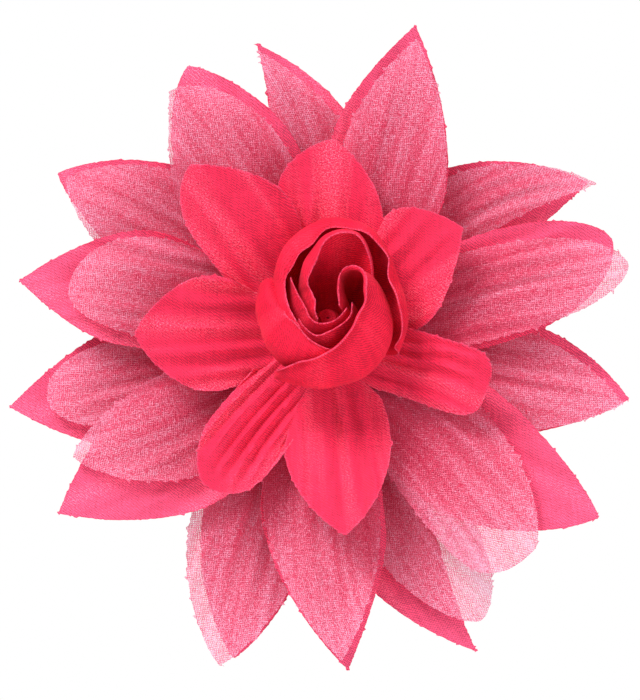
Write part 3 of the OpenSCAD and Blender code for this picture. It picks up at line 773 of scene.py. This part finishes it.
def organza_material(name, thread, pitch):
    """Sheer open weave: uneven threads, painted pale where they catch light and painted dark in their
    shade, with gaps between them
    """
    shader = Shader(name)
    uv, u, v = thread_coordinates(shader, pitch, 2.6)
    cover = None
    shine = None
    for count, scale in ((u, (1, 0.16, 1)), (v, (0.16, 1, 1))):
        stretch = shader.node("Mapping")
        shader.plug(stretch.inputs["Vector"], uv)
        stretch.inputs["Scale"].default_value = scale
        slub = shader.noise(stretch.outputs[0], 3200, 3, 0.65)
        width = shader.ramp(slub, 0.3, 0.7, -0.7, 0.9)
        ridge = shader.math("ADD", wave_of(shader, count), width)
        thread_here = shader.ramp(ridge, -0.2, 0.3)
        glint = shader.noise(stretch.outputs[0], 4600, 2, 0.7)
        cover = thread_here if cover is None else shader.math("MAXIMUM", cover, thread_here)
        shine = glint if shine is None else shader.math("MAXIMUM", shine, glint)
    grain = shader.noise(uv, 4200, 2, 0.75)
    streak_shading, along = lengthwise_shading_streaks(shader, 0.55, 3)
    # Painted light and shade on the threads: pale pink where light would catch them and the shadow
    # colour where it would not. They are darker towards the hub, where the layers above shade it, and
    # lighter towards the tips and on the streaks.
    light = shader.math("ADD", shader.math("MULTIPLY_ADD", grain, 0.9, shine),
                        shader.math("MULTIPLY", shader.ramp(streak_shading, 0.32, 0.68), 0.12))
    light = shader.math("ADD", light, shader.ramp(along, 0.25, 0.9, -0.11, 0.06))
    shadow = [thread[0] * 0.78, thread[1] * 0.22, thread[2] * 0.36]
    colour = shader.blend(shader.ramp(light, 0.86, 1.1), shadow, thread)
    colour = shader.blend(shader.ramp(light, 1.02, 1.22), colour, (1.0, 0.62, 0.82))
    # Painted shade: dark red specks in the gaps, as shadowed satin seen through them. There are more
    # of them towards the hub and fewer on the streaks.
    shade_specks = shader.noise(uv, 4000, 1, 0.8)
    shade_speck_share = shader.math("MULTIPLY", shader.ramp(along, 0.3, 0.95, 1, 0.6),
                        shader.ramp(streak_shading, 0.35, 0.65, 1, 0.6))
    painted_gap_shade = shader.math("MULTIPLY", shader.ramp(shade_specks, 0.5, 0.58, 0, 1), shade_speck_share)
    colour = shader.blend(painted_gap_shade, colour, (0.5, 0.01, 0.045))
    normal = shader.bump(cover, 0.08 * MM, 0.8)
    cloth = shader.principled(colour, 0.6, normal=normal, sheen_weight=0.05, sheen_roughness=0.4)
    cloth.inputs["Specular IOR Level"].default_value = 0.2
    through = shader.node("BsdfTranslucent")
    shader.plug(through.inputs["Color"], shader.blend(0.6, colour, (1.0, 0.6, 0.8)))
    mixed = shader.node("MixShader")
    mixed.inputs["Fac"].default_value = 0.4
    shader.plug(mixed.inputs[1], cloth.outputs[0])
    shader.plug(mixed.inputs[2], through.outputs[0])
    clear = shader.node("BsdfTransparent")
    seen = shader.node("MixShader")
    closed = shader.math("MULTIPLY", shader.ramp(cover, 0, 1, 0.08, 0.84),
                         shader.ramp(along, 0.5, 0.95, 1, 0.85))
    shader.plug(seen.inputs["Fac"], closed)
    shader.plug(seen.inputs[1], clear.outputs[0])
    shader.plug(seen.inputs[2], mixed.outputs[0])
    return shader.finish(seen.outputs[0])


def object_vector(shader):
    return shader.node("TexCoord").outputs["Object"]


def felt_material(colour):
    """Matted fibres"""
    shader = Shader("felt")
    vector = object_vector(shader)
    fibres = shader.noise(vector, 1500, 6, 0.75)
    clumps = shader.noise(vector, 420, 3)
    tone = shader.blend(shader.ramp(fibres, 0.35, 0.65), [c * 0.5 for c in colour],
                        [min(1, c * 1.3 + 0.03) for c in colour])
    height = shader.math("MULTIPLY_ADD", clumps, 0.6, fibres)
    cloth = shader.principled(tone, 0.95, normal=shader.bump(height, 0.35 * MM),
                              sheen_weight=0.2, sheen_roughness=0.6)
    return shader.finish(cloth.outputs[0])


def glue_material(colour):
    """Hot-melt glue: waxy and cloudy"""
    shader = Shader("glue")
    vector = object_vector(shader)
    cloud = shader.noise(vector, 300, 3)
    tone = shader.blend(shader.ramp(cloud, 0.3, 0.7), [c * 0.9 for c in colour], colour)
    body = shader.principled(tone, shader.ramp(cloud, 0.3, 0.7, 0.25, 0.4),
                             normal=shader.bump(cloud, 0.2 * MM, 0.5))
    body.inputs["Subsurface Weight"].default_value = 0.3
    body.inputs["Subsurface Scale"].default_value = 1.5 * MM
    return shader.finish(body.outputs[0])


def nylon_material(colour):
    """Moulded nylon with a faint grain"""
    shader = Shader("nylon")
    grain = shader.noise(object_vector(shader), 1800, 3)
    body = shader.principled(colour, shader.ramp(grain, 0.3, 0.7, 0.42, 0.52),
                             normal=shader.bump(grain, 0.03 * MM, 0.5))
    return shader.finish(body.outputs[0])


def plated_material(name, colour, roughness):
    """Nickel-plated steel: fine rolling marks and small scuffs"""
    shader = Shader(name)
    vector = object_vector(shader)
    stretch = shader.node("Mapping")
    shader.plug(stretch.inputs["Vector"], vector)
    stretch.inputs["Scale"].default_value = (1, 1, 0.04)
    rolled = shader.noise(stretch.outputs[0], 9000, 2)
    scuffs = shader.noise(vector, 700, 5, 0.65)
    rough = shader.math("ADD", shader.ramp(rolled, 0.3, 0.7, roughness - 0.05, roughness + 0.06),
                        shader.ramp(scuffs, 0.55, 0.75, 0, 0.16))
    tone = shader.blend(shader.ramp(scuffs, 0.5, 0.75), colour, [c * 0.82 for c in colour])
    body = shader.principled(tone, rough, normal=shader.bump(rolled, 0.01 * MM, 0.35))
    body.inputs["Metallic"].default_value = 1
    return shader.finish(body.outputs[0])


def give(piece, material):
    piece.data.materials.clear()
    piece.data.materials.append(material)


def repaint(node, material):
    """A CAD piece keeps its mesh and takes a new finish"""
    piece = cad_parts[node]
    for slot in piece.material_slots:
        slot.material = material


def finish_bud(piece, node, cloth, thickness):
    """A bud piece: thickened as a sheet of cloth, smoothed, given its cloth and put on the flower in
    place of its CAD part. A bud piece is cloth too: its flat area is what it measures, less the
    gathers at its foot
    """
    flat = np.empty(len(piece.data.loops) * 2, np.float32)
    piece.data.uv_layers["cloth"].data.foreach_get("uv", flat)
    thicken(piece, thickness)
    smooth(piece, 60)
    give(piece, cloth)
    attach(piece, "flower")
    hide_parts(node)


# ---------------------------------------------------------------- operators


class FLOWER_OT_petal_layers(bpy.types.Operator):
    """Makes the four outer petal layers and the inner petals"""

    bl_idname = "flower.petal_layers"
    bl_label = "Petal Layers"

    def execute(self, context):
        petals = context.scene.flower_petals
        # The outer satin is painted lighter towards its tips, as light through the cloth.
        satin = satin_material("satin_outer", petals.lit_tip_colour, petals.base_colour,
                               petals.base_colour, petals.satin_pitch, 0.3)
        # The inner petals take the lighter tip colour at their edges as a painted highlight along
        # their rims.
        inner = satin_material("satin_inner", petals.inner_colour, petals.inner_colour,
                               petals.lit_tip_colour, petals.satin_pitch, 0.35)
        organza = organza_material("organza", petals.organza_colour, petals.organza_pitch)
        plan = [
            ("lower_petals", LOWER_PETALS, satin, petals.satin_thickness, 0.05, ["back_glue"]),
            ("lower_organza", LOWER_ORGANZA, organza, petals.organza_thickness, 0.1,
             ["lower_petals_cloth"]),
            ("upper_petals", UPPER_PETALS, satin, petals.satin_thickness, 0.05,
             ["lower_organza_cloth"]),
            ("upper_organza", UPPER_ORGANZA, organza, petals.organza_thickness, 0.1,
             ["upper_petals_cloth"]),
            ("inner_petals", INNER_PETALS, inner, petals.satin_thickness, 0.05,
             ["upper_organza_cloth"]),
        ]
        for seed, (node, lobes, material, thickness, fray, rests_on) in enumerate(plan):
            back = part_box(node)[1].y - 0.2 * MM
            spread = INNER_SPREAD if node == "inner_petals" else OUTER_SPREAD
            piece = build_layer(node + "_cloth", lobes, back, fray, seed + 11, spread)
            finish_sheet(piece, thickness)
            give(piece, material)
            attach(piece, "flower")
            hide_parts(node)
        return {"FINISHED"}


class FLOWER_OT_rosebud(bpy.types.Operator):
    """Makes the rolled heart of the bud and its six petals"""

    bl_idname = "flower.rosebud"
    bl_label = "Rosebud"

    def execute(self, context):
        petals = context.scene.flower_petals
        # The bud takes the lighter tip colour at its edges as a painted highlight along its rims.
        cloth = satin_material("satin_bud", petals.bud_colour, petals.bud_colour,
                               petals.lit_tip_colour, petals.satin_pitch, 0.08)
        heart = bud_roll("bud_core_roll")
        finish_bud(heart, "bud_core", cloth, petals.satin_thickness)
        for seed, (node, (foot, rim)) in enumerate(BUD_PETALS.items()):
            piece = bud_petal(node + "_cloth", foot, rim, seed + 31)
            finish_bud(piece, node, cloth, petals.satin_thickness)
        return {"FINISHED"}


def felt_piece(name, low, high, radius):
    """The felt disc: cut by hand, slightly uneven, with a rounded edge and lumpy faces"""
    rng = np.random.default_rng(5)
    half = (high - low) / 2
    out = np.linspace(0.4 * MM, radius - half, 30)
    turn = np.linspace(0, math.pi, 9)
    r = np.concatenate([out, radius - half + half * np.sin(turn[1:-1]), out[::-1]])
    y = np.concatenate([out * 0 + high, (low + high) / 2 + half * np.cos(turn[1:-1]), out * 0 + low])
    count = 220
    a = np.linspace(0, 2 * math.pi, count, endpoint=False)[:, None]
    cut = 1 + 0.006 * np.sin(3 * a + 1) + 0.004 * np.sin(7 * a) + rng.normal(0, 0.0012, (count, 1))
    rr = r[None, :] * (1 + (cut - 1) * (r[None, :] / radius) ** 3)
    x, z = rr * np.cos(a), rr * np.sin(a)
    lumps = 0.05 * MM * (np.sin(x * 900 + 2 * z * 400) + np.sin(z * 1100 - x * 500))
    yy = y[None, :] - 0.5 * lumps * np.sign(y - (low + high) / 2)[None, :]
    index = np.arange(count * len(r)).reshape(count, -1)
    nxt = np.roll(index, -1, axis=0)
    faces = np.stack([index[:, :-1], nxt[:, :-1], nxt[:, 1:], index[:, 1:]], axis=-1)
    places = np.stack([x, yy, z], axis=-1)
    piece = new_piece(name, places.reshape(-1, 3), faces.reshape(-1, 4))
    make_active(piece)
    bpy.ops.object.mode_set(mode="EDIT")
    bpy.ops.mesh.select_all(action="SELECT")
    bpy.ops.mesh.fill_holes(sides=0)
    bpy.ops.mesh.select_all(action="SELECT")
    bpy.ops.mesh.normals_make_consistent(inside=False)
    bpy.ops.object.mode_set(mode="OBJECT")
    smooth(piece, 50)
    return piece


def wire_spring(name, centre, clip):
    """A torsion spring: a wire section swept round the pin, with a straight leg at each end"""
    coil_r, wire_r, half_width = clip.coil_radius, clip.wire_radius, clip.coil_half_width
    deselect_all()
    bpy.ops.mesh.primitive_circle_add(vertices=16, radius=wire_r, fill_type="NOTHING")
    piece = bpy.context.active_object
    piece.name = name
    bpy.ops.object.mode_set(mode="EDIT")
    bpy.ops.mesh.select_all(action="SELECT")
    bpy.ops.transform.translate(value=(-half_width, -coil_r, 0))
    bpy.ops.object.mode_set(mode="OBJECT")
    sweep = piece.modifiers.new("sweep", "SCREW")
    sweep.axis = "X"
    sweep.angle = clip.coil_turns * 2 * math.pi
    sweep.screw_offset = 2 * half_width
    sweep.steps = sweep.render_steps = int(40 * clip.coil_turns)
    sweep.use_merge_vertices = False
    apply_modifiers(piece)
    for side, lean in ((-1, clip.fixed_leg_lean), (1, clip.lever_leg_lean)):
        end = Vector((side * half_width, side * coil_r, 0))
        for edge in piece.data.edges:
            edge.select = False
        for vertex in piece.data.vertices:
            near = (vertex.co - end).length < wire_r * 1.05
            vertex.select = near and abs(vertex.co.z) < wire_r * 0.2
        bpy.ops.object.mode_set(mode="EDIT")
        bpy.ops.mesh.select_mode(type="VERT")
        bpy.ops.mesh.extrude_region_move(TRANSFORM_OT_translate={
            "value": (0, side * clip.leg_length * math.sin(lean),
                      clip.leg_length * math.cos(lean))})
        bpy.ops.mesh.edge_face_add()
        bpy.ops.object.mode_set(mode="OBJECT")
    bpy.ops.object.mode_set(mode="EDIT")
    bpy.ops.mesh.select_all(action="SELECT")
    bpy.ops.transform.translate(value=centre)
    bpy.ops.mesh.normals_make_consistent(inside=False)
    bpy.ops.object.mode_set(mode="OBJECT")
    smooth(piece, 45)
    return piece


class FLOWER_OT_felt(bpy.types.Operator):
    """Makes the felt disc"""

    bl_idname = "flower.felt"
    bl_label = "Felt Disc"

    def execute(self, context):
        back = context.scene.flower_back
        low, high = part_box("felt_disc")
        felt = felt_piece("felt_disc_cloth", low.y, high.y, high.x)
        give(felt, felt_material(back.felt_colour))
        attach(felt, "flower")
        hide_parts("felt_disc")
        return {"FINISHED"}


class FLOWER_OT_fastenings(bpy.types.Operator):
    """Finishes the glue, the peg and its collar"""

    bl_idname = "flower.fastenings"
    bl_label = "Glue and Peg"

    def execute(self, context):
        back = context.scene.flower_back
        glue = glue_material(back.glue_colour)
        nylon = nylon_material(back.nylon_colour)
        for node in ("bud_glue", "back_glue", "arm_glue"):
            repaint(node, glue)
        for node in ("centre_peg", "peg_collar"):
            repaint(node, nylon)
        return {"FINISHED"}


class FLOWER_OT_clip(bpy.types.Operator):
    """Finishes the clip's arms and pin"""

    bl_idname = "flower.clip"
    bl_label = "Clip"

    def execute(self, context):
        plated = plated_material("plated_steel", context.scene.flower_clip.plating_colour, 0.24)
        for node in ("fixed_arm", "lever_arm", "hinge_pin"):
            repaint(node, plated)
        return {"FINISHED"}


class FLOWER_OT_spring(bpy.types.Operator):
    """Makes the spring round the pin, with one leg on the fixed arm and one on the lever"""

    bl_idname = "flower.spring"
    bl_label = "Clip Spring"

    def execute(self, context):
        clip = context.scene.flower_clip
        pin_low, pin_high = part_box("hinge_pin")
        pin = (pin_low + pin_high) / 2
        spring = wire_spring("clip_spring_wire", (0, pin.y, pin.z), clip)
        give(spring, plated_material("spring_wire", [c * 0.8 for c in clip.plating_colour], 0.3))
        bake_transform(spring)
        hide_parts("clip_spring")
        return {"FINISHED"}


class FLOWER_OT_stage(bpy.types.Operator):
    """Sets up the camera, the light and a round pale floor"""

    bl_idname = "flower.stage"
    bl_label = "Stage"

    def execute(self, context):
        stage = context.scene.flower_stage
        scene = context.scene
        scene.view_settings.view_transform = "Standard"
        low, high = CAD_BOX
        centre = Vector((-0.95 * MM, (low[1] + high[1]) / 2, -1.9 * MM))

        camera = bpy.data.objects.new("camera", bpy.data.cameras.new("camera"))
        scene.collection.objects.link(camera)
        camera.location = centre + Vector((0, -stage.camera_distance, 0))
        camera.rotation_euler = (math.radians(90), 0, 0)
        camera.data.sensor_fit = "VERTICAL"
        camera.data.sensor_height = 24
        camera.data.lens = 24 * stage.camera_distance / stage.view_height
        camera.data.clip_start = 0.05
        scene.camera = camera

        world = bpy.data.worlds.new("studio")
        scene.world = world
        world.use_nodes = True
        tree = world.node_tree
        ambient = tree.nodes["Background"]
        ambient.inputs["Color"].default_value = (1, 1, 1, 1)
        ambient.inputs["Strength"].default_value = 0.55
        backdrop = tree.nodes.new("ShaderNodeBackground")
        backdrop.inputs["Color"].default_value = (1, 1, 1, 1)
        backdrop.inputs["Strength"].default_value = 1
        path = tree.nodes.new("ShaderNodeLightPath")
        mix = tree.nodes.new("ShaderNodeMixShader")
        tree.links.new(path.outputs["Is Camera Ray"], mix.inputs["Fac"])
        tree.links.new(ambient.outputs[0], mix.inputs[1])
        tree.links.new(backdrop.outputs[0], mix.inputs[2])
        tree.links.new(mix.outputs[0], tree.nodes["World Output"].inputs["Surface"])

        for name, place, size, power in (
            ("key_light", (-0.5, -0.7, 0.75), 0.45, 14.0),
            ("fill_light", (0.7, -0.7, 0.0), 0.7, 4.0),
        ):
            light = bpy.data.objects.new(name, bpy.data.lights.new(name, "AREA"))
            scene.collection.objects.link(light)
            light.data.size = size
            light.data.energy = power
            light.location = place
            light.rotation_euler = (-Vector(place)).to_track_quat("-Z", "Y").to_euler()

        deselect_all()
        bpy.ops.mesh.primitive_cylinder_add(
            vertices=96, radius=stage.floor_radius, depth=0.004,
            location=(0, centre.y, -stage.floor_drop - 0.002))
        floor = context.active_object
        floor.name = "floor"
        bpy.ops.object.transform_apply(location=True)
        pale = Shader("pale_floor")
        give(floor, pale.finish(pale.principled((0.9, 0.9, 0.9), 0.8).outputs[0]))
        return {"FINISHED"}


class FLOWER_PT_panel(bpy.types.Panel):
    """Lists the steps in the 3D view's sidebar"""

    bl_idname = "FLOWER_PT_panel"
    bl_label = "Flower Clip"
    bl_space_type = "VIEW_3D"
    bl_region_type = "UI"
    bl_category = "Flower Clip"

    def draw(self, context):
        for step in STEPS:
            self.layout.operator(step.bl_idname)
        for group in SETTINGS:
            box = self.layout.box()
            box.label(text=group.__doc__)
            for name in group.__annotations__:
                box.prop(getattr(context.scene, SETTINGS[group]), name)


SETTINGS = {
    PetalSettings: "flower_petals",
    BackSettings: "flower_back",
    ClipSettings: "flower_clip",
    StageSettings: "flower_stage",
}
STEPS = (
    FLOWER_OT_stage, FLOWER_OT_petal_layers, FLOWER_OT_rosebud, FLOWER_OT_felt,
    FLOWER_OT_fastenings, FLOWER_OT_clip, FLOWER_OT_spring,
)


def register():
    for group, name in SETTINGS.items():
        bpy.utils.register_class(group)
        setattr(bpy.types.Scene, name, bpy.props.PointerProperty(type=group))
    for step in STEPS:
        bpy.utils.register_class(step)
    bpy.utils.register_class(FLOWER_PT_panel)


def unregister():
    bpy.utils.unregister_class(FLOWER_PT_panel)
    for step in reversed(STEPS):
        bpy.utils.unregister_class(step)
    for group, name in SETTINGS.items():
        delattr(bpy.types.Scene, name)
        bpy.utils.unregister_class(group)


def main():
    register()
    bpy.ops.flower.stage()
    bpy.ops.flower.petal_layers()
    bpy.ops.flower.rosebud()
    bpy.ops.flower.felt()
    bpy.ops.flower.fastenings()
    bpy.ops.flower.clip()
    bpy.ops.flower.spring()


if __name__ == "__main__":
    main()
